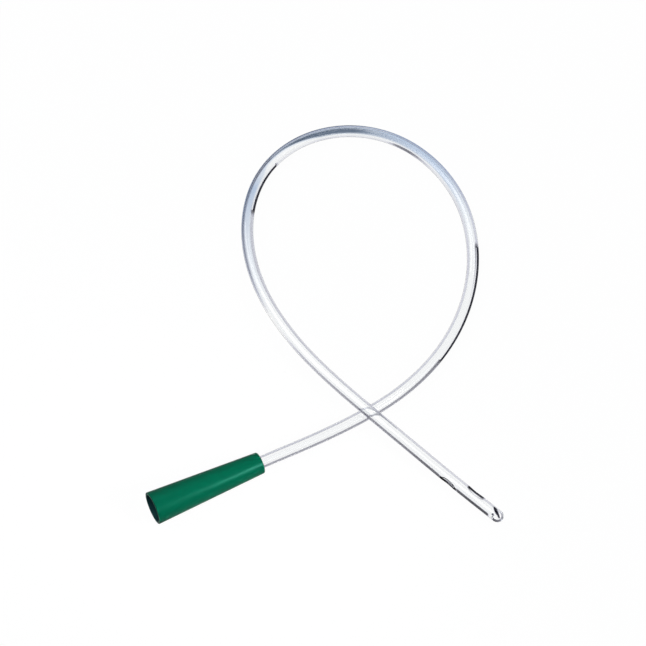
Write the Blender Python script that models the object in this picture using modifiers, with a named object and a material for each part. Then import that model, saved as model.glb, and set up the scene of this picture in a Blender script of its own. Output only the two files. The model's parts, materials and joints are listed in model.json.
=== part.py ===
"""Nelaton catheter: a clear tube with a closed round tip and two side eyes, bonded into a funnel connector.

It lies on a flat surface as it comes to rest. The tube leaves the funnel, passes under its own far end,
runs once round and comes back over itself to the tip. Units are metres and +Z is up. The origin is on the
surface, at the middle of the object's box. Seen from above, the funnel's axis runs along X, with the mouth
towards -X.
"""

import math

import bmesh
import bpy
import numpy as np
from mathutils import Vector

MM = 0.001
WELD_DISTANCE = 0.001 * MM

# Tube of size CH 14: the outer diameter in millimetres is a third of the size number
TUBE_SIZE_CH = 14
TUBE_OD = TUBE_SIZE_CH / 3 * MM
TUBE_ID = 3.2 * MM
TUBE_RING_PITCH = 5.5 * MM
TUBE_SIDES = 16

# Closed tip: the outer rounding, and the solid end between the lumen's round end and the tip
TIP_DOME = 2.5 * MM
TIP_SOLID = 2.8 * MM
DOME_RINGS = 6
DOME_LAST_ANGLE = math.radians(84)

# Side eyes on opposite sides, each placed by the distance from the tip to its middle
EYE_LENGTH = 7.2 * MM
EYE_WIDTH = 2.8 * MM
EYE_REACH = 1.2 * MM
EYE_NEAR_FROM_TIP = 14.1 * MM
EYE_FAR_FROM_TIP = 24.5 * MM

# Funnel connector, a moulded cone with a tapered bore at the mouth and a socket for the tube
FUNNEL_LENGTH = 44.4 * MM
FUNNEL_MOUTH_OD = 12.6 * MM
FUNNEL_END_OD = 8.3 * MM
FUNNEL_MOUTH_WALL = 1.0 * MM
FUNNEL_THROAT_ID = 6.0 * MM
FUNNEL_SIDES = 48
SOCKET_DEPTH = 14.0 * MM
SEAT_WEB = 2.0 * MM
RIM_RADIUS = 0.2 * MM
END_RADIUS = 0.6 * MM
SOCKET_LEAD_RADIUS = 0.3 * MM
THROAT_RADIUS = 0.8 * MM
FILLET_STEPS = 3

# Clearances: round the tube in its socket, at its seat, and between the tube's two strands where they cross
BOND_GAP = 0.2 * MM
SEAT_GAP = 0.3 * MM
CROSSING_GAP = 0.3 * MM

# Where the funnel's narrow end lies, and how far the tube runs straight out of it
FUNNEL_END_X = -39.2 * MM
FUNNEL_END_Y = -31.3 * MM
STRAIGHT_LEAD = 6.0 * MM

# The tube's way along the surface in millimetres. The third value lifts it, as a share of the crossing's rise
ROUTE = [
    (-19.4, -31.3, 0.17),
    (-0.2, -30.6, 0.03),
    (18.8, -28.2, 0.00),
    (37.1, -22.3, 0.00),
    (53.6, -12.2, 0.00),
    (67.0, 1.5, 0.00),
    (76.6, 18.2, 0.00),
    (81.3, 36.7, 0.00),
    (79.9, 55.8, 0.00),
    (71.9, 73.1, 0.00),
    (57.3, 85.4, 0.00),
    (38.8, 89.6, 0.00),
    (20.6, 84.5, 0.03),
    (6.5, 71.6, 0.11),
    (-2.3, 54.7, 0.26),
    (-6.4, 35.9, 0.46),
    (-6.4, 16.8, 0.68),
    (-3.3, -2.2, 0.89),
    (2.0, -20.6, 1.02),
    (8.6, -38.6, 0.93),
    (15.8, -56.3, 0.56),
    (23.1, -74.0, 0.22),
    (30.6, -91.8, 0.00),
]

CLEAR_PVC = (0.90, 0.93, 0.96, 1.0)
FUNNEL_GREEN = (0.0, 0.141, 0.076, 1.0)


def start_clean():
    """Empties the scene."""
    for thing in list(bpy.data.objects):
        bpy.data.objects.remove(thing, do_unlink=True)
    for group in list(bpy.data.collections):
        bpy.data.collections.remove(group)


def new_collection(name):
    group = bpy.data.collections.new(name)
    bpy.context.scene.collection.children.link(group)
    return group


def plastic(name, colour, roughness, ior, transmission=0.0):
    """A plain plastic, clear where transmission is 1."""
    material = bpy.data.materials.new(name)
    material.use_nodes = True
    shader = material.node_tree.nodes["Principled BSDF"]
    shader.inputs["Base Color"].default_value = colour
    shader.inputs["Roughness"].default_value = roughness
    shader.inputs["Metallic"].default_value = 0.0
    shader.inputs["IOR"].default_value = ior
    shader.inputs["Transmission Weight"].default_value = transmission
    material.diffuse_color = colour
    return material


def smooth_runs(points, spacing):
    """Points at equal spacing on a natural cubic spline through the given points."""
    knots = np.array(points)
    gaps = np.linalg.norm(np.diff(knots, axis=0), axis=1)
    slopes = np.diff(knots, axis=0) / gaps[:, None]
    system = np.eye(len(knots))
    wanted = np.zeros_like(knots)
    for i in range(1, len(knots) - 1):
        system[i, i - 1 : i + 2] = gaps[i - 1], 2 * (gaps[i - 1] + gaps[i]), gaps[i]
        wanted[i] = 6 * (slopes[i] - slopes[i - 1])
    bends = np.linalg.solve(system, wanted)

    dense = []
    for i, gap in enumerate(gaps):
        for share in np.linspace(0, 1, 40, endpoint=False):
            here, left = share * gap, gap - share * gap
            straight = knots[i] * (1 - share) + knots[i + 1] * share
            sag = bends[i] * (left**3 / gap - gap * left) + bends[i + 1] * (here**3 / gap - gap * here)
            dense.append(straight + sag / 6)
    dense = np.array(dense + [knots[-1]])
    run = np.append(0, np.cumsum(np.linalg.norm(np.diff(dense, axis=0), axis=1)))
    stops = np.linspace(0, run[-1], round(run[-1] / spacing) + 1)
    return np.stack([np.interp(stops, run, dense[:, axis]) for axis in range(3)], axis=1)


class CentreLine:
    """The tube's centre line, read by the distance from its open end."""

    def __init__(self, points):
        self.points = smooth_runs(points, TUBE_OD / 8)
        steps = np.linalg.norm(np.diff(self.points, axis=0), axis=1)
        self.runs = np.append(0, np.cumsum(steps))
        self.length = self.runs[-1]

    def at(self, run):
        """The point at a run. Past an end, it goes straight on."""
        inside = min(max(run, 0), self.length)
        point = np.array([np.interp(inside, self.runs, self.points[:, axis]) for axis in range(3)])
        return point + self.heading(inside) * (run - inside)

    def heading(self, run):
        step = TUBE_OD / 2
        before, after = max(run - step, 0), min(run + step, self.length)
        ends = [[np.interp(s, self.runs, self.points[:, axis]) for axis in range(3)] for s in (before, after)]
        along = np.array(ends[1]) - np.array(ends[0])
        return along / np.linalg.norm(along)


def funnel_tilt():
    """A cone that lies on its side has its axis tilted by its half angle."""
    return math.atan((FUNNEL_MOUTH_OD - FUNNEL_END_OD) / 2 / FUNNEL_LENGTH)


def funnel_end():
    """The middle of the funnel's narrow end, with the funnel lying on its side."""
    return np.array([FUNNEL_END_X, FUNNEL_END_Y, FUNNEL_END_OD / 2 * math.cos(funnel_tilt())])


def tube_route():
    """The route's points: straight along the socket, then over the surface to the tip."""
    tilt = funnel_tilt()
    outwards = np.array([math.cos(tilt), 0, -math.sin(tilt)])
    seated = SOCKET_DEPTH - SEAT_GAP
    points = [funnel_end() + outwards * run for run in (-seated, -seated / 2, 0, STRAIGHT_LEAD)]
    rise = TUBE_OD + CROSSING_GAP
    for x, y, lift in ROUTE:
        points.append(np.array([x * MM, y * MM, TUBE_OD / 2 + lift * rise]))
    return points


def domed_stations(line, start, end, dome):
    """Centre points and radius shares of a round rod, from start to a domed end."""
    straight_end = end - dome
    count = round((straight_end - start) / TUBE_RING_PITCH)
    stations = [(line.at(run), 1.0) for run in np.linspace(start, straight_end, count + 1)]
    for angle in np.linspace(0, DOME_LAST_ANGLE, DOME_RINGS + 1)[1:]:
        stations.append((line.at(straight_end + dome * math.sin(angle)), math.cos(angle)))
    return stations


def round_rod(name, stations, radius, group):
    """A solid rod along the stations, as a closed mesh."""
    curve = bpy.data.curves.new(name, "CURVE")
    curve.dimensions = "3D"
    curve.bevel_depth = radius
    curve.bevel_resolution = (TUBE_SIDES - 4) // 2
    curve.use_fill_caps = True
    spline = curve.splines.new("POLY")
    spline.points.add(len(stations) - 1)
    for point, (place, share) in zip(spline.points, stations):
        point.co = (*place, 1.0)
        point.radius = share
    guide = bpy.data.objects.new(name + "_guide", curve)
    group.objects.link(guide)
    bpy.context.view_layer.update()

    mesh = bpy.data.meshes.new_from_object(guide.evaluated_get(bpy.context.evaluated_depsgraph_get()))
    weld = bmesh.new()
    weld.from_mesh(mesh)
    bmesh.ops.remove_doubles(weld, verts=weld.verts, dist=WELD_DISTANCE)
    bmesh.ops.recalc_face_normals(weld, faces=weld.faces)
    weld.to_mesh(mesh)
    weld.free()
    mesh.name = name
    rod = bpy.data.objects.new(name, mesh)
    rod.matrix_world = guide.matrix_world.copy()
    group.objects.link(rod)
    bpy.data.objects.remove(guide, do_unlink=True)
    return rod


def eye_cutter(name, line, from_tip, side, group):
    """An egg-shaped cutter on the tube's wall. Its middle is on the outer surface."""
    run = line.length - from_tip
    heading = Vector(line.heading(run))
    across = Vector((0, 0, 1)).cross(heading).normalized() * side
    upright = heading.cross(across)
    wall = (TUBE_OD - TUBE_ID) / 2

    mesh = bpy.data.meshes.new(name)
    ball = bmesh.new()
    bmesh.ops.create_uvsphere(ball, u_segments=24, v_segments=12, radius=1.0)
    place = Vector(line.at(run)) + across * (TUBE_OD / 2)
    for vertex in ball.verts:
        along, outwards, up = vertex.co.z, vertex.co.x, vertex.co.y
        vertex.co = (
            place
            + heading * (along * EYE_LENGTH / 2)
            + across * (outwards * (wall + EYE_REACH))
            + upright * (up * EYE_WIDTH / 2)
        )
    ball.to_mesh(mesh)
    ball.free()
    cutter = bpy.data.objects.new(name, mesh)
    group.objects.link(cutter)
    return cutter


def cut(body, cutter):
    """Takes the cutter out of the body, and leaves it as a hidden wire guide."""
    step = body.modifiers.new("cut_" + cutter.name, "BOOLEAN")
    step.operation = "DIFFERENCE"
    step.solver = "EXACT"
    step.object = cutter
    cutter.hide_render = True
    cutter.display_type = "WIRE"


def catheter_tube(parts, cutters):
    """The tube with its lumen, closed tip and two eyes, in one piece."""
    line = CentreLine(tube_route())
    tube = round_rod(
        "catheter_tube",
        domed_stations(line, 0, line.length, TIP_DOME),
        TUBE_OD / 2,
        parts,
    )
    lumen = round_rod(
        "lumen_cutter",
        domed_stations(line, -SEAT_GAP, line.length - TIP_SOLID, TUBE_ID / 2),
        TUBE_ID / 2,
        cutters,
    )
    cut(tube, lumen)
    cut(tube, eye_cutter("far_eye_cutter", line, EYE_FAR_FROM_TIP, -1, cutters))
    cut(tube, eye_cutter("near_eye_cutter", line, EYE_NEAR_FROM_TIP, 1, cutters))
    tube.data.materials.clear()
    tube.data.materials.append(plastic("clear_pvc", CLEAR_PVC, 0.05, 1.53, transmission=1.0))
    tube.data.shade_smooth()
    return tube


def filleted(corners):
    """The outline of a closed profile, with each corner (radius, height, fillet) rounded by an arc."""
    outline = []
    for i, (x, z, fillet) in enumerate(corners):
        here = Vector((x, z))
        if fillet == 0:
            outline.append(here)
            continue
        back = (Vector(corners[i - 1][:2]) - here).normalized()
        ahead = (Vector(corners[(i + 1) % len(corners)][:2]) - here).normalized()
        half = back.angle(ahead) / 2
        middle = here + (back + ahead).normalized() * (fillet / math.sin(half))
        first = here + back * (fillet / math.tan(half)) - middle
        last = here + ahead * (fillet / math.tan(half)) - middle
        turn = first.angle(last)
        for step in range(FILLET_STEPS + 1):
            share = step / FILLET_STEPS
            mixed = first * math.sin((1 - share) * turn) + last * math.sin(share * turn)
            outline.append(middle + mixed / math.sin(turn))
    return outline


def funnel_connector(parts):
    """The funnel, turned about its own Z axis: narrow end at zero, mouth at its full length."""
    mouth_r = FUNNEL_MOUTH_OD / 2
    end_r = FUNNEL_END_OD / 2
    socket_r = TUBE_OD / 2 + BOND_GAP
    bore_r = TUBE_ID / 2
    throat_r = FUNNEL_THROAT_ID / 2
    web_top = SOCKET_DEPTH + SEAT_WEB
    throat_height = web_top + throat_r - bore_r
    corners = [
        (mouth_r, FUNNEL_LENGTH, RIM_RADIUS),
        (end_r, 0, END_RADIUS),
        (socket_r, 0, SOCKET_LEAD_RADIUS),
        (socket_r, SOCKET_DEPTH, 0),
        (bore_r, SOCKET_DEPTH, 0),
        (bore_r, web_top, 0),
        (throat_r, throat_height, THROAT_RADIUS),
        (mouth_r - FUNNEL_MOUTH_WALL, FUNNEL_LENGTH, RIM_RADIUS),
    ]
    outline = [(point.x, 0, point.y) for point in filleted(corners)]
    edges = [(i, (i + 1) % len(outline)) for i in range(len(outline))]
    mesh = bpy.data.meshes.new("funnel_connector")
    mesh.from_pydata(outline, edges, [])
    funnel = bpy.data.objects.new("funnel_connector", mesh)
    parts.objects.link(funnel)

    turned = funnel.modifiers.new("turned", "SCREW")
    turned.axis = "Z"
    turned.angle = math.tau
    turned.steps = FUNNEL_SIDES
    turned.render_steps = FUNNEL_SIDES
    turned.use_merge_vertices = True
    turned.merge_threshold = WELD_DISTANCE
    turned.use_smooth_shade = True

    funnel.location = funnel_end()
    funnel.rotation_euler = (0, funnel_tilt() - math.pi / 2, 0)
    mesh.materials.append(plastic("green_pvc", FUNNEL_GREEN, 0.35, 1.5))
    return funnel


def main():
    start_clean()
    parts = new_collection("nelaton_catheter")
    cutters = new_collection("cutters")
    funnel_connector(parts)
    catheter_tube(parts, cutters)


main()
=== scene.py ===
"""Nelaton catheter: the finished look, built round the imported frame. Units are metres."""

import json
import math

import bmesh
import bpy
import numpy as np
from mathutils import Matrix, Vector

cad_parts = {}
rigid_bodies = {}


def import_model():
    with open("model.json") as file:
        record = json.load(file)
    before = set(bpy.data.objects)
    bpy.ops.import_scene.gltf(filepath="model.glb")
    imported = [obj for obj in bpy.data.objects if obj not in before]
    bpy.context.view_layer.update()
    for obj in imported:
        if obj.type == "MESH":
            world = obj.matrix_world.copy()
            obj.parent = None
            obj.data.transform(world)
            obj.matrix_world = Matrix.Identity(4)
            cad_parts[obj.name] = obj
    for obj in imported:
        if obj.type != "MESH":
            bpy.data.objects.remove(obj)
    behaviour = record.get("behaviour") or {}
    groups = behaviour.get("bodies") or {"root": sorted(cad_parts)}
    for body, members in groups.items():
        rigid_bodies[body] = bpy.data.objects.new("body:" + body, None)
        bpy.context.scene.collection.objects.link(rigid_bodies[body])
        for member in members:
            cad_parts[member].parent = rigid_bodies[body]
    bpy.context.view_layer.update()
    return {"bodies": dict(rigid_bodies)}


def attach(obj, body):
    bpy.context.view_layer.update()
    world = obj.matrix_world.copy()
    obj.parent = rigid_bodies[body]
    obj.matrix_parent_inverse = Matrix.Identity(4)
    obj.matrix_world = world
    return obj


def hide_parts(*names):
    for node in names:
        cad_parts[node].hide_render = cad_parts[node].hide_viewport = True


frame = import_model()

MM = 0.001
BODY = next(iter(frame["bodies"]))

# The object's sizes, as the solids have them
TUBE_OD = 14 / 3 * MM
TUBE_ID = 3.2 * MM
TIP_DOME = 2.5 * MM
TIP_SOLID = 2.8 * MM
EYE_LENGTH = 7.2 * MM
EYE_WIDTH = 2.8 * MM
EYE_DEEP_LENGTH = 6.66 * MM
EYE_DEEP_WIDTH = 2.59 * MM
EYE_NEAR_FROM_TIP = 14.1 * MM
EYE_FAR_FROM_TIP = 24.5 * MM
FUNNEL_LENGTH = 44.4 * MM
FUNNEL_MOUTH_OD = 12.6 * MM
FUNNEL_END_OD = 8.3 * MM
FUNNEL_MOUTH_WALL = 1.0 * MM
FUNNEL_THROAT_ID = 6.0 * MM
SOCKET_DEPTH = 14.0 * MM
SEAT_WEB = 2.0 * MM
SEAT_GAP = 0.3 * MM
BOND_GAP = 0.2 * MM
RIM_RADIUS = 0.2 * MM
END_RADIUS = 0.6 * MM
SOCKET_LEAD_RADIUS = 0.3 * MM
THROAT_RADIUS = 0.8 * MM
CROSSING_GAP = 0.3 * MM
FUNNEL_END_X = -39.2 * MM
FUNNEL_END_Y = -31.3 * MM
STRAIGHT_LEAD = 6.0 * MM

# The tube's way along the surface in millimetres, with its lift as a share of the crossing's rise
ROUTE = [
    (-19.4, -31.3, 0.17),
    (-0.2, -30.6, 0.03),
    (18.8, -28.2, 0.00),
    (37.1, -22.3, 0.00),
    (53.6, -12.2, 0.00),
    (67.0, 1.5, 0.00),
    (76.6, 18.2, 0.00),
    (81.3, 36.7, 0.00),
    (79.9, 55.8, 0.00),
    (71.9, 73.1, 0.00),
    (57.3, 85.4, 0.00),
    (38.8, 89.6, 0.00),
    (20.6, 84.5, 0.03),
    (6.5, 71.6, 0.11),
    (-2.3, 54.7, 0.26),
    (-6.4, 35.9, 0.46),
    (-6.4, 16.8, 0.68),
    (-3.3, -2.2, 0.89),
    (2.0, -20.6, 1.02),
    (8.6, -38.6, 0.93),
    (15.8, -56.3, 0.56),
    (23.1, -74.0, 0.22),
    (30.6, -91.8, 0.00),
]

# The photograph's view: a long lens that looks down, turned from the funnel's axis
CAMERA_TARGET = Vector((9.34, 13.44, 0.0)) * MM
CAMERA_HEADING = math.radians(26.7)
CAMERA_ELEVATION = math.radians(61)
CAMERA_DISTANCE = 1.152
CAMERA_LENS_MM = 167.2
CAMERA_SENSOR_MM = 36
CAMERA_REACH = 20

# The studio's lamps
LIGHTS = [
    # name, place, the point it faces, width and height, watts, spread in degrees
    ("front_softbox", (0.36, -1.01, 0.84), (0, 0, 0), (1.6, 0.36), 1.8, 180),
    ("near_strip", (0.120, -0.248, 0.185), (-0.07, -0.03, 0.0), (0.12, 0.09), 0.041, 26),
    ("top_softbox", (-0.5, 0.5, 1.3), (0, 0, 0), (1.4, 1.4), 9, 180),
]
# The world grades from straight down to level, and stays the same from there up
WORLD_BELOW = (0.02, 0.03, 0.05, 1)
WORLD_ABOVE = (0.9, 0.93, 1.0, 1)
WORLD_STRENGTH = 0.65

# Mesh fineness
SPLINE_STEPS = 60
TUBE_SIDES = 48
RING_PITCH = 0.75 * MM
DOME_RINGS = 14
SHOULDER_RINGS = 5
EYE_FIELD = 9.6 * MM
EYE_RINGS = 24
EYE_FIELD_ROWS = 5
EYE_FIELD_CROWD = 0.8
EYE_RIM = 0.22 * MM
EYE_RIM_STEPS = 4
FUNNEL_SIDES = 128
FUNNEL_SHARP = math.radians(40)
FILLET_STEPS = 6

# The floor: its lit colour for the camera and for the light it throws back, and the share of its
# own light for the camera, the rest being lit and shadowed
FLOOR_HALF = 3.0
FLOOR_HEIGHT = -0.3 * MM
FLOOR_WHITE = (0.88, 0.88, 0.88, 1.0)
FLOOR_GREY = (0.3, 0.3, 0.3, 1.0)
FLOOR_GLOW = 0.975
FLOOR_ROUGHNESS = 0.6

# The green plastic: two greens in slight clouds, a fine grain, and a painted shade inside the
# funnel's mouth, which starts at a share of the wall's depth
GREEN_DEEP = (0.0, 0.079, 0.039, 1.0)
GREEN_LIGHT = (0.0, 0.097, 0.050, 1.0)
GREEN_GLOSS = (0.2, 1.0, 0.8, 1.0)
GREEN_INSIDE_SHADE = (0.010, 0.035, 0.042, 1.0)
GREEN_IOR = 1.25
GREEN_ROUGHNESS = (0.27, 0.36)
CLOUD_SCALE = 90.0
GRAIN_SCALE = 1400.0
GRAIN_RANGE = (0.2, 0.8)
GRAIN_STRENGTH = 0.12
GRAIN_DEPTH = 0.05 * MM
INSIDE_SHADE_FROM = 0.7

# The clear plastic: a painted line of shade along each edge, standing in for the dark surroundings
# seen in it, by how much the skin faces away, and its strength.
# The line starts at EDGE_RISE and falls back at EDGE_FALL to EDGE_RIM. A stronger line is wider,
# up to the strongest, which is thin and black to the rim.
CLEAR_ROUGHNESS = 0.015
CLEAR_IOR = 1.53
# The painted shade's colours, from clear to near black: they tint what the tube lets through and
# what it reflects
PAINTED_SHADE_COLOURS = [
    # strength, colour
    (0.0, (0.978, 0.984, 0.985, 1.0)),
    (0.35, (0.47, 0.48, 0.59, 1.0)),
    (0.7, (0.12, 0.12, 0.148, 1.0)),
    (1.0, (0.0003, 0.0003, 0.0008, 1.0)),
]
EDGE_RISE = (0.23, 0.33)
EDGE_WIDE = -0.07
EDGE_WIDE_AT = (0.4, 0.9)
EDGE_THIN = 0.11
EDGE_THIN_AT = (0.985, 1.0)
EDGE_FALL = (0.50, 0.70)
EDGE_RIM = 0.35
EDGE_RIM_AT = (0.85, 1.0)
# The two edges' strengths blend over the tube's top and bottom
EDGE_BLEND = 0.5

# A shade over 1 is a painted dark mark, standing in for dark reflections, whichever way the skin
# faces: round the eyes and on the tip
EYE_RIM_PAINTED_SHADE = {
    # side of the tube: degrees round the eye from its end nearer the tip, shade
    -1: [(-180, 1.97), (-165, 1.05), (-15, 1.05), (0, 1.9), (60, 1.95), (120, 1.95), (160, 2.0),
         (180, 2.0)],
    1: [(-180, 1.7), (-150, 1.1), (-40, 1.1), (0, 1.3), (30, 1.7), (90, 1.8), (140, 1.97),
        (180, 1.97)],
}
# On the skin an eye's shade starts halfway in to its rim, and rises at this rate
EYE_SHADE_FROM = 0.5
EYE_SHADE_RISE = 3
# Deep in an eye's wall only the darkest shades of its rim go on
EYE_DEEP_SHADE = ((1.4, 1.9), (0.0, 1.7))
# The dome's painted shade, standing in for dark reflections at the tip's edge, from its right side
# to its left
TIP_PAINTED_SHADE = [(-1.0, 0.98), (-0.5, 0.85), (0.3, 0.7), (0.75, 0.2), (1.0, 0.2)]
# Three strokes of painted shade on the tip, standing in for dark reflections inside it, with soft
# sides in mm
PAINTED_STROKE_SHADE = 2.0
PAINTED_STROKE_SOFT = 0.3
TIP_PAINTED_STROKES = [
    # two ends: ahead of the tip's end, left, up, half the width, all in mm
    ((-4.6, 0.9, 2.1, 0.65), (-3.1, 0.1, 2.33, 0.75)),
    ((-3.1, 0.1, 2.33, 0.75), (-1.0, -0.8, 1.75, 0.4)),
    ((-3.7, -1.4, 1.88, 0.55), (-3.6, -1.4, 1.88, 0.55)),
]
# The strength of the painted shade along the tube's edges, which stands in for the dark
# surroundings seen in them
PAINTED_EDGE_SHADE = [
    # share of the tube's length, left edge, right edge
    (0.00, 0.47, 0.68),
    (0.08, 0.46, 0.70),
    (0.14, 0.43, 0.70),
    (0.165, 0.42, 0.74),
    (0.19, 0.36, 0.82),
    (0.204, 0.36, 0.87),
    (0.207, 0.37, 1.00),
    (0.27, 0.37, 1.00),
    (0.300, 0.41, 1.00),
    (0.320, 0.38, 1.00),
    (0.325, 0.36, 0.42),
    (0.333, 0.33, 0.32),
    (0.37, 0.26, 0.36),
    (0.40, 0.18, 0.34),
    (0.41, 0.22, 0.34),
    (0.42, 0.50, 0.38),
    (0.437, 0.90, 0.36),
    (0.450, 0.85, 0.32),
    (0.460, 0.25, 0.27),
    (0.48, 0.20, 0.26),
    (0.50, 0.22, 0.36),
    (0.52, 0.27, 0.38),
    (0.54, 0.18, 0.50),
    (0.570, 0.22, 0.56),
    (0.573, 1.00, 0.60),
    (0.590, 1.00, 0.63),
    (0.603, 1.00, 0.54),
    (0.628, 1.00, 0.52),
    (0.633, 0.50, 0.55),
    (0.640, 0.48, 0.56),
    (0.69, 0.47, 0.56),
    (0.72, 0.46, 0.27),
    (0.735, 0.44, 0.00),
    (0.755, 0.43, 0.12),
    (0.78, 0.42, 0.54),
    (0.82, 0.41, 0.66),
    (0.86, 0.41, 0.74),
    (0.88, 0.40, 0.80),
    (0.90, 0.37, 0.86),
    (0.92, 0.37, 0.93),
    (0.9365, 0.37, 0.95),
    (0.9385, 0.37, 0.60),
    (0.9545, 0.35, 0.60),
    (0.9565, 0.34, 0.97),
    (0.9605, 0.34, 0.97),
    (0.9625, 0.98, 0.97),
    (0.9715, 0.98, 0.98),
    (0.9765, 0.85, 0.98),
    (0.9785, 0.34, 0.98),
    (0.9885, 0.34, 0.98),
    (0.9900, 0.30, 0.05),
    (0.9930, 0.25, 0.05),
    (0.9938, 0.20, 0.98),
    (1.00, 0.20, 0.98),
]

# A glowing sheet of painted blue-grey shade under the far side of the loop, which only the clear
# tube shows.
# It lies between the floor and the tube, reaches from inside the loop to outside it, and has a
# dark core.
SHEET_HEIGHT = -0.1 * MM
SHEET_PALE = (0.46, 0.57, 0.75)
SHEET_DEEP = (0.085, 0.13, 0.205)
SHEET_REACH = (-5.0 * MM, 20.0 * MM)
SHEET_STEPS = 51
SHEET_SOFT = 1.0 * MM
SHEET_PALE_END = 16 * MM
SHEET_SHADE = [
    # share of the length, pale strength, pale start in mm, core strength, core start and end in mm
    (0.30, 0.0, -4.0, 0.0, 0.6, 2.2),
    (0.34, 0.12, -3.0, 0.0, 0.6, 2.2),
    (0.37, 0.40, -1.6, 0.0, 0.6, 2.2),
    (0.40, 0.85, -0.6, 0.08, 0.6, 2.2),
    (0.42, 1.0, 0.0, 0.22, 0.6, 2.2),
    (0.44, 1.0, 0.1, 0.25, 0.5, 2.6),
    (0.46, 1.0, 0.2, 0.42, 0.3, 3.6),
    (0.475, 0.9, 0.1, 0.62, 0.4, 4.4),
    (0.49, 0.9, 0.1, 1.05, 0.4, 4.8),
    (0.52, 0.9, 0.1, 1.05, 0.4, 4.8),
    (0.53, 0.9, 0.8, 1.1, 1.2, 5.0),
    (0.54, 0.9, 1.6, 1.15, 1.9, 5.3),
    (0.555, 1.0, 2.5, 1.0, 3.0, 6.0),
    (0.575, 0.7, 2.2, 0.8, 3.5, 10.0),
    (0.585, 0.5, -0.3, 0.8, 3.4, 12.0),
    (0.60, 1.0, -0.6, 0.75, 3.2, 14.0),
    (0.62, 0.75, -1.0, 0.6, 3.2, 14.0),
    (0.65, 0.42, -2.5, 0.5, 3.8, 14.0),
    (0.69, 0.22, -3.5, 0.3, 4.2, 14.0),
    (0.73, 0.0, -4.0, 0.0, 4.2, 14.0),
]


def make_camera():
    ahead = Vector((
        math.sin(CAMERA_HEADING) * math.cos(CAMERA_ELEVATION),
        math.cos(CAMERA_HEADING) * math.cos(CAMERA_ELEVATION),
        -math.sin(CAMERA_ELEVATION),
    ))
    data = bpy.data.cameras.new("camera")
    data.lens = CAMERA_LENS_MM
    data.sensor_width = CAMERA_SENSOR_MM
    data.clip_end = CAMERA_REACH
    camera = bpy.data.objects.new("camera", data)
    camera.location = CAMERA_TARGET - ahead * CAMERA_DISTANCE
    camera.rotation_euler = ahead.to_track_quat("-Z", "Y").to_euler()
    bpy.context.scene.collection.objects.link(camera)
    bpy.context.scene.camera = camera


def smooth_runs(points, spacing):
    """Points at equal spacing on a natural cubic spline through the given points."""
    knots = np.array(points)
    gaps = np.linalg.norm(np.diff(knots, axis=0), axis=1)
    slopes = np.diff(knots, axis=0) / gaps[:, None]
    system = np.eye(len(knots))
    wanted = np.zeros_like(knots)
    for i in range(1, len(knots) - 1):
        system[i, i - 1 : i + 2] = gaps[i - 1], 2 * (gaps[i - 1] + gaps[i]), gaps[i]
        wanted[i] = 6 * (slopes[i] - slopes[i - 1])
    bends = np.linalg.solve(system, wanted)

    dense = []
    for i, gap in enumerate(gaps):
        for share in np.linspace(0, 1, SPLINE_STEPS, endpoint=False):
            here, left = share * gap, gap - share * gap
            straight = knots[i] * (1 - share) + knots[i + 1] * share
            before = bends[i] * (left**3 / gap - gap * left)
            after = bends[i + 1] * (here**3 / gap - gap * here)
            dense.append(straight + (before + after) / 6)
    dense = np.array(dense + [knots[-1]])
    run = np.append(0, np.cumsum(np.linalg.norm(np.diff(dense, axis=0), axis=1)))
    stops = np.linspace(0, run[-1], round(run[-1] / spacing) + 1)
    return np.stack([np.interp(stops, run, dense[:, axis]) for axis in range(3)], axis=1)


def funnel_tilt():
    """A cone that lies on its side has its axis tilted by its half angle."""
    return math.atan((FUNNEL_MOUTH_OD - FUNNEL_END_OD) / 2 / FUNNEL_LENGTH)


def funnel_end():
    """The middle of the funnel's narrow end."""
    return np.array([FUNNEL_END_X, FUNNEL_END_Y, FUNNEL_END_OD / 2 * math.cos(funnel_tilt())])


def tube_route():
    """The route's points: straight along the socket, then over the surface to the tip."""
    tilt = funnel_tilt()
    outwards = np.array([math.cos(tilt), 0, -math.sin(tilt)])
    seated = SOCKET_DEPTH - SEAT_GAP
    points = [funnel_end() + outwards * run for run in (-seated, -seated / 2, 0, STRAIGHT_LEAD)]
    rise = TUBE_OD + CROSSING_GAP
    for x, y, lift in ROUTE:
        points.append(np.array([x * MM, y * MM, TUBE_OD / 2 + lift * rise]))
    return points


class CentreLine:
    """The tube's centre line, read by the distance from its open end."""

    def __init__(self):
        self.points = smooth_runs(tube_route(), RING_PITCH / 2)
        steps = np.linalg.norm(np.diff(self.points, axis=0), axis=1)
        self.runs = np.append(0, np.cumsum(steps))
        self.length = self.runs[-1]

    def at(self, run):
        return np.array([np.interp(run, self.runs, self.points[:, axis]) for axis in range(3)])

    def frame(self, run):
        """A point, the level direction to the tube's left there, and the one that goes upward."""
        before, after = max(run - RING_PITCH, 0), min(run + RING_PITCH, self.length)
        heading = self.at(after) - self.at(before)
        heading = heading / np.linalg.norm(heading)
        across = np.cross((0, 0, 1), heading)
        across = across / np.linalg.norm(across)
        return self.at(run), across, np.cross(heading, across)

    def on_tube(self, run, angle, radius):
        """The point at an angle round the tube: 0 is its left side, a quarter turn its top."""
        place, across, upright = self.frame(run)
        return place + radius * (math.cos(angle) * across + math.sin(angle) * upright)


def painted_edge_shade(share, angle):
    """How dark the painted shade makes the skin's edge at a share of the length and an angle round
    it; it stands in for the studio's dark surroundings.
    """
    stops, left, right = np.array(PAINTED_EDGE_SHADE).T
    weight = min(max(math.cos(angle) / EDGE_BLEND, -1), 1) / 2 + 0.5
    return np.interp(share, stops, left) * weight + np.interp(share, stops, right) * (1 - weight)


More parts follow.
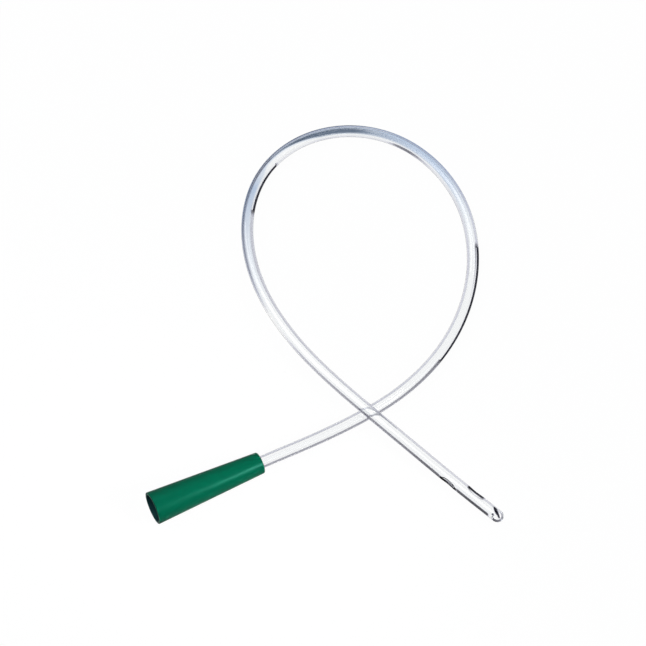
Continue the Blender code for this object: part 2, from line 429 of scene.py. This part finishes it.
class TubeMesh:
    """The tube as clean quads: outer skin, lumen, round ends and two eyes through the wall."""

    def __init__(self, line):
        self.line = line
        self.made = bmesh.new()
        self.shade = self.made.verts.layers.float.new("painted_edge_shade")
        self.tip, self.left, self.up = line.frame(line.length)
        self.eyes = [
            (line.length - EYE_FAR_FROM_TIP, -1),
            (line.length - EYE_NEAR_FROM_TIP, 1),
        ]

    def vert(self, place, shade):
        made = self.made.verts.new(place)
        made[self.shade] = shade
        return made

    def skin_shade(self, run, angle, radius):
        """The lumen has none: its own bend in the light draws its edges."""
        if radius < TUBE_OD / 2:
            return 0.0
        return painted_edge_shade(run / self.line.length, angle)

    def ring_runs(self):
        """Where the rings lie: close together beside the eyes and up to the tip."""
        stops = [0.0]
        for run, _ in self.eyes:
            stops += [run - EYE_FIELD / 2, run + EYE_FIELD / 2]
        stops.append(self.line.length - TIP_SOLID - TUBE_ID / 2)
        runs = []
        for k, (start, end) in enumerate(zip(stops, stops[1:])):
            pitch = RING_PITCH if k in (0, 2) else EYE_FIELD / EYE_RINGS
            count = max(round((end - start) / pitch), 2)
            runs += list(np.linspace(start, end, count, endpoint=False))
        return runs + [stops[-1]]

    def ring(self, run, radius, inside, shade=None):
        """A ring of vertices round the centre line."""
        place, across, upright = self.line.frame(run)
        row = []
        for k in range(TUBE_SIDES):
            angle = k / TUBE_SIDES * math.tau
            out = math.cos(angle) * across + math.sin(angle) * upright
            spot = place + radius * out
            dark = self.skin_shade(run, angle, radius) if shade is None else shade
            if not inside:
                dark = max(dark, self.painted_stroke_shade(spot))
            row.append(self.vert(spot, dark))
        return row

    def painted_stroke_shade(self, spot):
        """How dark the tip's painted shade strokes are at a point: each is a stroke between two
        points.
        """
        from_tip = (spot - self.tip) / MM
        heading = np.cross(self.left, self.up)
        here = np.array([from_tip @ heading, from_tip @ self.left, from_tip @ self.up])
        dark = 0.0
        for start, end in TIP_PAINTED_STROKES:
            start, end = np.array(start), np.array(end)
            way = (end - start)[:3]
            share = min(max((here - start[:3]) @ way / (way @ way), 0), 1)
            nearest = start + (end - start) * share
            depth = nearest[3] - np.linalg.norm(here - nearest[:3])
            dark = max(dark, PAINTED_STROKE_SHADE * min(max(depth / PAINTED_STROKE_SOFT + 0.5, 0), 1))
        return dark

    # The painted shade round an eye's rim and in its wall, standing in for dark reflections in the
    # cut, by the turn round the eye
    def rim_painted_shade(self, eye, turn):
        degrees, shades = np.array(EYE_RIM_PAINTED_SHADE[eye[1]]).T
        return float(np.interp(math.degrees(turn), degrees, shades))

    def strip(self, a, b, inside, closed=True):
        """One row of quads between two rows of vertices."""
        for k in range(len(a) if closed else len(a) - 1):
            m = (k + 1) % len(a)
            face = (a[k], a[m], b[m], b[k])
            self.made.faces.new(face[::-1] if inside else face)

    def skin(self, runs, radius, inside):
        """A cylinder skin with a square field left open round each eye."""
        rings = [self.ring(run, radius, inside) for run in runs]
        fields = []
        quarter = TUBE_SIDES // 4
        for run, side in self.eyes:
            first = int(np.argmin(np.abs(np.array(runs) - (run - EYE_FIELD / 2))))
            last = int(np.argmin(np.abs(np.array(runs) - (run + EYE_FIELD / 2))))
            middle = 0 if side > 0 else TUBE_SIDES // 2
            fields.append((first, last, middle))
        for i in range(len(rings) - 1):
            for k in range(TUBE_SIDES):
                turned = [(k - middle + quarter) % TUBE_SIDES for _, _, middle in fields]
                if any(
                    first <= i < last and turn < 2 * quarter
                    for (first, last, _), turn in zip(fields, turned)
                ):
                    continue
                m = (k + 1) % TUBE_SIDES
                face = (rings[i][k], rings[i][m], rings[i + 1][m], rings[i + 1][k])
                self.made.faces.new(face[::-1] if inside else face)
        borders = []
        for first, last, middle in fields:
            low, high = middle - quarter, middle + quarter
            border = [(i, high) for i in range(first, last)]
            border += [(last, k) for k in range(high, low, -1)]
            border += [(i, low) for i in range(last, first, -1)]
            border += [(first, k) for k in range(low, high)]
            borders.append([
                (rings[i][k % TUBE_SIDES], runs[i], (k - middle) / TUBE_SIDES * math.tau)
                for i, k in border
            ])
        return rings, borders

    def eye_point(self, eye, along, across, radius):
        """A point on a cylinder of the given radius, by its place in the eye's own plane."""
        run, side = eye
        angle = math.asin(across / radius)
        return self.line.on_tube(run + along, angle + (0 if side > 0 else math.pi), radius)

    def eye_field(self, eye, border, radius, half_length, half_width, inside):
        """Rows of quads from the square border in to the eye's rim: its last row and turns."""
        run, side = eye
        previous = [vert for vert, _, _ in border]
        turns = []
        for _, at, angle in border:
            turns.append(math.atan2(angle * radius / half_width, (at - run) / half_length))
        for step in range(1, EYE_FIELD_ROWS + 1):
            share = (step / EYE_FIELD_ROWS) ** EYE_FIELD_CROWD
            rise = min(max(EYE_SHADE_RISE * (share - EYE_SHADE_FROM), 0), 1)
            row = []
            for (_, at, angle), turn in zip(border, turns):
                along = (half_length + EYE_RIM) * math.cos(turn)
                across = math.asin((half_width + EYE_RIM) * math.sin(turn) / radius)
                here = (at - run) * (1 - share) + along * share
                round_it = angle * (1 - share) + across * share
                turned = round_it + (0 if side > 0 else math.pi)
                dark = self.skin_shade(run + here, turned, radius)
                if not inside:
                    dark = max(dark, self.rim_painted_shade(eye, turn) * rise)
                row.append(self.vert(self.line.on_tube(run + here, turned, radius), dark))
            self.strip(previous, row, inside)
            previous = row
        return previous, turns

    def eye_wall(self, eye, outer, inner, turns):
        """The rounded wall of an eye, from the rim in the skin to the rim in the lumen."""
        steps = np.linspace(0, 1, EYE_RIM_STEPS + 1)
        previous = outer
        curves = []
        for k, turn in enumerate(turns):
            out = Vector(self.eye_point(eye, EYE_LENGTH / 2 * math.cos(turn),
                                        EYE_WIDTH / 2 * math.sin(turn), TUBE_OD / 2))
            deep = Vector(self.eye_point(eye, EYE_DEEP_LENGTH / 2 * math.cos(turn),
                                         EYE_DEEP_WIDTH / 2 * math.sin(turn), TUBE_ID / 2))
            down = (deep - out).normalized() * EYE_RIM
            first = [outer[k].co, out, out + down]
            second = [deep - down, deep, inner[k].co]
            curves.append((first, second))
        for part, shares in enumerate((steps[1:], steps[:-1])):
            for t in shares:
                row = []
                for turn, curve in zip(turns, curves):
                    a, b, c = curve[part]
                    place = a * (1 - t) ** 2 + b * 2 * t * (1 - t) + c * t**2
                    dark = self.rim_painted_shade(eye, turn)
                    if part:
                        dark = float(np.interp(dark, *EYE_DEEP_SHADE))
                    row.append(self.vert(place, dark))
                self.strip(previous, row, False)
                previous = row
        self.strip(previous, inner, False)

    def dome(self, last_ring, straight, reach, radius, inside):
        """A round end beyond the last ring."""
        row = last_ring
        for k in range(1, DOME_RINGS):
            angle = k / DOME_RINGS * math.pi / 2
            run = straight + reach * math.sin(angle)
            ring = self.ring(run, radius * math.cos(angle), inside, 0.0)
            for m, vert in enumerate(ring):
                turn = m / TUBE_SIDES * math.tau
                if not inside:
                    vert[self.shade] = max(self.dome_painted_shade(angle, turn), vert[self.shade])
            self.strip(row, ring, inside)
            row = ring
        shade = 0.0 if inside else self.dome_painted_shade(math.pi / 2, 0)
        pole = self.vert(self.line.at(straight + reach), shade)
        for k in range(TUBE_SIDES):
            face = (row[k], row[(k + 1) % TUBE_SIDES], pole)
            self.made.faces.new(face[::-1] if inside else face)

    def dome_painted_shade(self, rise, turn):
        """How dark the painted shade at the tip's edge is, by how far a point of the dome faces
        left.
        """
        sides, shades = np.array(TIP_PAINTED_SHADE).T
        return float(np.interp(math.cos(rise) * math.cos(turn), sides, shades))

    def build(self):
        runs = self.ring_runs()
        outer, outer_borders = self.skin(runs, TUBE_OD / 2, False)
        inner, inner_borders = self.skin(runs, TUBE_ID / 2, True)
        for eye, out, deep in zip(self.eyes, outer_borders, inner_borders):
            rim, turns = self.eye_field(eye, out, TUBE_OD / 2, EYE_LENGTH / 2, EYE_WIDTH / 2, False)
            lip, _ = self.eye_field(
                eye, deep, TUBE_ID / 2, EYE_DEEP_LENGTH / 2, EYE_DEEP_WIDTH / 2, True)
            self.eye_wall(eye, rim, lip, turns)
        self.dome(inner[-1], runs[-1], TUBE_ID / 2, TUBE_ID / 2, True)
        straight = self.line.length - TIP_DOME
        row = outer[-1]
        for run in np.linspace(runs[-1], straight, SHOULDER_RINGS + 1)[1:]:
            ring = self.ring(run, TUBE_OD / 2, False)
            self.strip(row, ring, False)
            row = ring
        self.dome(row, straight, TIP_DOME, TUBE_OD / 2, False)
        self.strip(outer[0], inner[0], True)
        return self.made


def make_tube(line):
    form = TubeMesh(line)
    made = form.build()
    mesh = bpy.data.meshes.new("tube_skin")
    made.to_mesh(mesh)
    made.free()
    mesh.shade_smooth()
    tube = bpy.data.objects.new("tube_skin", mesh)
    bpy.context.scene.collection.objects.link(tube)
    return tube


def node(tree, kind, inputs=(), **settings):
    """A new node with its settings and inputs: a value, or the socket that feeds it."""
    made = tree.nodes.new(kind)
    for name, value in settings.items():
        setattr(made, name, value)
    for key, value in dict(inputs).items():
        if isinstance(value, bpy.types.NodeSocket):
            tree.links.new(value, made.inputs[key])
        else:
            made.inputs[key].default_value = value
    return made


def maths(tree, operation, a, b):
    return node(tree, "ShaderNodeMath", {0: a, 1: b}, operation=operation).outputs[0]


def smooth_step(tree, value, start, end, low=0.0, high=1.0):
    inputs = {"Value": value, "From Min": start, "From Max": end, "To Min": low, "To Max": high}
    made = node(tree, "ShaderNodeMapRange", inputs, interpolation_type="SMOOTHSTEP")
    return made.outputs["Result"]


def new_material(name):
    material = bpy.data.materials.new(name)
    material.use_nodes = True
    return material, material.node_tree, material.node_tree.nodes["Principled BSDF"]


def clear_pvc():
    material, tree, shader = new_material("clear_pvc")
    shader.inputs["Roughness"].default_value = CLEAR_ROUGHNESS
    shader.inputs["IOR"].default_value = CLEAR_IOR
    shader.inputs["Transmission Weight"].default_value = 1.0
    facing = node(tree, "ShaderNodeLayerWeight", {"Blend": 0.5}).outputs["Facing"]
    # Painted shade from the mesh darkens the clear plastic's colour and its reflections along the
    # edges, round the eyes and on the tip, standing in for dark surroundings
    shade = node(tree, "ShaderNodeAttribute", attribute_name="painted_edge_shade").outputs["Fac"]
    strength = maths(tree, "MINIMUM", shade, 1.0)
    wide = smooth_step(tree, strength, *EDGE_WIDE_AT, 0.0, EDGE_WIDE)
    thin = smooth_step(tree, strength, *EDGE_THIN_AT, 0.0, EDGE_THIN)
    shift = maths(tree, "ADD", wide, thin)
    starts = [maths(tree, "ADD", value, shift) for value in EDGE_RISE]
    rise = smooth_step(tree, facing, *starts)
    rim = smooth_step(tree, strength, *EDGE_RIM_AT, EDGE_RIM, 1.0)
    fall = smooth_step(tree, facing, *EDGE_FALL, 1.0, rim)
    depth = maths(tree, "MULTIPLY", maths(tree, "MULTIPLY", rise, fall), strength)
    extra = maths(tree, "MAXIMUM", maths(tree, "SUBTRACT", shade, 1.0), 0.0)
    tint = node(tree, "ShaderNodeValToRGB", {0: maths(tree, "MAXIMUM", depth, extra)})
    stops = tint.color_ramp.elements
    stops[0].color, stops[1].color = PAINTED_SHADE_COLOURS[0][1], PAINTED_SHADE_COLOURS[-1][1]
    for place, colour in PAINTED_SHADE_COLOURS[1:-1]:
        stops.new(place).color = colour
    tree.links.new(tint.outputs[0], shader.inputs["Base Color"])
    tree.links.new(tint.outputs[0], shader.inputs["Specular Tint"])
    return material


def green_pvc():
    material, tree, shader = new_material("green_pvc")
    place = node(tree, "ShaderNodeTexCoord").outputs["Object"]
    clouds = node(
        tree, "ShaderNodeTexNoise", {"Vector": place, "Scale": CLOUD_SCALE, "Detail": 3.0})
    greens = {0: clouds.outputs[0], 6: GREEN_DEEP, 7: GREEN_LIGHT}
    tint = node(tree, "ShaderNodeMix", greens, data_type="RGBA")
    # Painted shade: the funnel darkens deep inside its mouth, where less light reaches
    inside = node(tree, "ShaderNodeAttribute", attribute_name="inside").outputs["Fac"]
    shaded = node(
        tree, "ShaderNodeMix", {0: inside, 6: tint.outputs[2], 7: GREEN_INSIDE_SHADE}, data_type="RGBA")
    tree.links.new(shaded.outputs[2], shader.inputs["Base Color"])
    grain = node(
        tree, "ShaderNodeTexNoise", {"Vector": place, "Scale": GRAIN_SCALE, "Detail": 2.0})
    bump = {"Height": grain.outputs[0], "Strength": GRAIN_STRENGTH, "Distance": GRAIN_DEPTH}
    relief = node(tree, "ShaderNodeBump", bump)
    tree.links.new(relief.outputs[0], shader.inputs["Normal"])
    gloss = smooth_step(tree, grain.outputs[0], *GRAIN_RANGE, *GREEN_ROUGHNESS)
    tree.links.new(gloss, shader.inputs["Roughness"])
    shader.inputs["IOR"].default_value = GREEN_IOR
    shader.inputs["Specular Tint"].default_value = GREEN_GLOSS
    return material


def rounded(corners):
    """The outline of a closed profile, with each corner (radius, height, fillet) rounded."""
    outline = []
    for i, (x, z, fillet) in enumerate(corners):
        here = Vector((x, z))
        if fillet == 0:
            outline.append(here)
            continue
        back = (Vector(corners[i - 1][:2]) - here).normalized()
        ahead = (Vector(corners[(i + 1) % len(corners)][:2]) - here).normalized()
        half = back.angle(ahead) / 2
        middle = here + (back + ahead).normalized() * (fillet / math.sin(half))
        first = here + back * (fillet / math.tan(half)) - middle
        last = here + ahead * (fillet / math.tan(half)) - middle
        turn = first.angle(last)
        for step in range(FILLET_STEPS + 1):
            share = step / FILLET_STEPS
            mixed = first * math.sin((1 - share) * turn) + last * math.sin(share * turn)
            outline.append(middle + mixed / math.sin(turn))
    return outline


def make_funnel():
    """The moulded funnel, turned about its axis: narrow end at zero, mouth at its full length."""
    mouth_r = FUNNEL_MOUTH_OD / 2
    end_r = FUNNEL_END_OD / 2
    socket_r = TUBE_OD / 2 + BOND_GAP
    bore_r = TUBE_ID / 2
    throat_r = FUNNEL_THROAT_ID / 2
    web_top = SOCKET_DEPTH + SEAT_WEB
    corners = [
        (mouth_r, FUNNEL_LENGTH, RIM_RADIUS),
        (end_r, 0, END_RADIUS),
        (socket_r, 0, SOCKET_LEAD_RADIUS),
        (socket_r, SOCKET_DEPTH, 0),
        (bore_r, SOCKET_DEPTH, 0),
        (bore_r, web_top, 0),
        (throat_r, web_top + throat_r - bore_r, THROAT_RADIUS),
        (mouth_r - FUNNEL_MOUTH_WALL, FUNNEL_LENGTH, RIM_RADIUS),
    ]
    made = bmesh.new()
    inside = made.verts.layers.float.new("inside")
    rings = []
    for point in rounded(corners):
        skin_r = end_r + (mouth_r - end_r) * point.y / FUNNEL_LENGTH
        # The painted shade inside the mouth, rising with the depth into the wall
        depth = (skin_r - point.x) / FUNNEL_MOUTH_WALL
        deep = min(max(depth - INSIDE_SHADE_FROM, 0) / (1 - INSIDE_SHADE_FROM), 1)
        ring = []
        for k in range(FUNNEL_SIDES):
            turn = k / FUNNEL_SIDES * math.tau
            spot = made.verts.new((point.x * math.cos(turn), point.x * math.sin(turn), point.y))
            spot[inside] = deep
            ring.append(spot)
        rings.append(ring)
    for a, b in zip(rings, rings[1:] + rings[:1]):
        for k in range(FUNNEL_SIDES):
            m = (k + 1) % FUNNEL_SIDES
            made.faces.new((a[k], a[m], b[m], b[k]))
    bmesh.ops.recalc_face_normals(made, faces=made.faces)
    turn = Matrix.Translation(Vector(funnel_end())) @ Matrix.Rotation(
        funnel_tilt() - math.pi / 2, 4, "Y")
    made.transform(turn)
    mesh = bpy.data.meshes.new("funnel_body")
    made.to_mesh(mesh)
    made.free()
    mesh.shade_smooth()
    mesh.set_sharp_from_angle(angle=FUNNEL_SHARP)
    mesh.materials.append(green_pvc())
    funnel = bpy.data.objects.new("funnel_body", mesh)
    bpy.context.scene.collection.objects.link(funnel)
    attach(funnel, BODY)
    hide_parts("funnel_connector")


def soft_bump(value, start, end, soft):
    """One between start and end, zero outside, with soft sides."""
    def ease(share):
        share = min(max(share, 0), 1)
        return share * share * (3 - 2 * share)
    return ease((value - start) / soft + 0.5) * ease((end - value) / soft + 0.5)


def make_painted_shade_sheet(line):
    """A glowing sheet of painted blue-grey shade under the loop's far side. Only the clear tube
    shows it.
    """
    stops, *grades = np.array(SHEET_SHADE).T
    white, pale, deep = np.ones(3), np.array(SHEET_PALE), np.array(SHEET_DEEP)
    runs = np.arange(stops[0] * line.length, stops[-1] * line.length, RING_PITCH)
    offsets = np.linspace(*SHEET_REACH, SHEET_STEPS)
    places, colours, faces = [], [], []
    for run in runs:
        share = run / line.length
        wide, wide_start, core, core_start, core_end = [np.interp(share, stops, g) for g in grades]
        place, across, _ = line.frame(run)
        for offset in offsets:
            spot = place - across * offset
            places.append((spot[0], spot[1], SHEET_HEIGHT))
            pale_share = wide * soft_bump(
                offset, wide_start * MM, SHEET_PALE_END, 2 * SHEET_SOFT)
            core_share = core * soft_bump(
                offset, core_start * MM, core_end * MM, SHEET_SOFT)
            colour = white * (1 - pale_share) + pale * pale_share
            colours.append(colour * (1 - core_share) + deep * core_share)
    for i in range(len(runs) - 1):
        for k in range(SHEET_STEPS - 1):
            a = i * SHEET_STEPS + k
            faces.append((a, a + SHEET_STEPS, a + SHEET_STEPS + 1, a + 1))
    mesh = bpy.data.meshes.new("painted_shade_sheet")
    mesh.from_pydata(places, [], faces)
    glow = mesh.attributes.new("glow", "FLOAT_COLOR", "POINT")
    for value, colour in zip(glow.data, colours):
        value.color = (*colour, 1)
    material, tree, _ = new_material("painted_shade_sheet")
    colour = node(tree, "ShaderNodeAttribute", attribute_name="glow").outputs["Color"]
    shine = node(tree, "ShaderNodeEmission", {"Color": colour})
    tree.links.new(shine.outputs[0], tree.nodes["Material Output"].inputs["Surface"])
    mesh.materials.append(material)
    sheet = bpy.data.objects.new("painted_shade_sheet", mesh)
    bpy.context.scene.collection.objects.link(sheet)
    sheet.visible_camera = False
    sheet.visible_diffuse = False
    sheet.visible_glossy = False
    sheet.visible_shadow = False


def make_floor():
    """A white floor to the camera and through the clear tube, with the object's shadow on it."""
    mesh = bpy.data.meshes.new("floor")
    corners = [(x * FLOOR_HALF, y * FLOOR_HALF, 0) for x, y in ((-1, -1), (1, -1), (1, 1), (-1, 1))]
    mesh.from_pydata(corners, [], [(0, 1, 2, 3)])
    floor = bpy.data.objects.new("floor", mesh)
    floor.location.z = FLOOR_HEIGHT
    bpy.context.scene.collection.objects.link(floor)
    material, tree, shader = new_material("floor_white")
    shader.inputs["Roughness"].default_value = FLOOR_ROUGHNESS
    glow = node(tree, "ShaderNodeEmission", {"Color": (1, 1, 1, 1), "Strength": 1.0})
    path = node(tree, "ShaderNodeLightPath")
    seen = path.outputs["Is Camera Ray"]
    lit = node(tree, "ShaderNodeMix", {0: seen, 6: FLOOR_GREY, 7: FLOOR_WHITE}, data_type="RGBA")
    tree.links.new(lit.outputs[2], shader.inputs["Base Color"])
    direct = maths(tree, "MULTIPLY", seen, FLOOR_GLOW)
    share = maths(tree, "MAXIMUM", direct, path.outputs["Is Transmission Ray"])
    mix = node(tree, "ShaderNodeMixShader", {0: share, 1: shader.outputs[0], 2: glow.outputs[0]})
    tree.links.new(mix.outputs[0], tree.nodes["Material Output"].inputs["Surface"])
    mesh.materials.append(material)


def make_world():
    world = bpy.data.worlds.new("studio")
    bpy.context.scene.world = world
    world.use_nodes = True
    tree = world.node_tree
    back = tree.nodes["Background"]
    place = node(tree, "ShaderNodeTexCoord")
    split = node(tree, "ShaderNodeSeparateXYZ", {0: place.outputs["Generated"]})
    ramp = node(tree, "ShaderNodeValToRGB", {0: split.outputs["Z"]})
    low, high = ramp.color_ramp.elements
    low.position, low.color = 0.0, WORLD_BELOW
    high.position, high.color = 0.5, WORLD_ABOVE
    tree.links.new(ramp.outputs[0], back.inputs["Color"])
    back.inputs["Strength"].default_value = WORLD_STRENGTH


def area_light(name, place, target, size, energy, spread):
    data = bpy.data.lights.new(name, "AREA")
    data.shape = "RECTANGLE"
    data.size, data.size_y = size
    data.energy = energy
    data.spread = math.radians(spread)
    light = bpy.data.objects.new(name, data)
    light.location = place
    light.rotation_euler = (Vector(target) - Vector(place)).to_track_quat("-Z", "Y").to_euler()
    bpy.context.scene.collection.objects.link(light)


make_camera()
bpy.context.scene.view_settings.view_transform = "Standard"
make_world()
make_floor()
line = CentreLine()
tube = make_tube(line)
tube.data.materials.append(clear_pvc())
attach(tube, BODY)
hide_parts("catheter_tube")
[tuple(point) for point in smooth_runs(tube_route(), 4 * MM)]
make_funnel()
make_painted_shade_sheet(line)
for lamp in LIGHTS:
    area_light(*lamp)
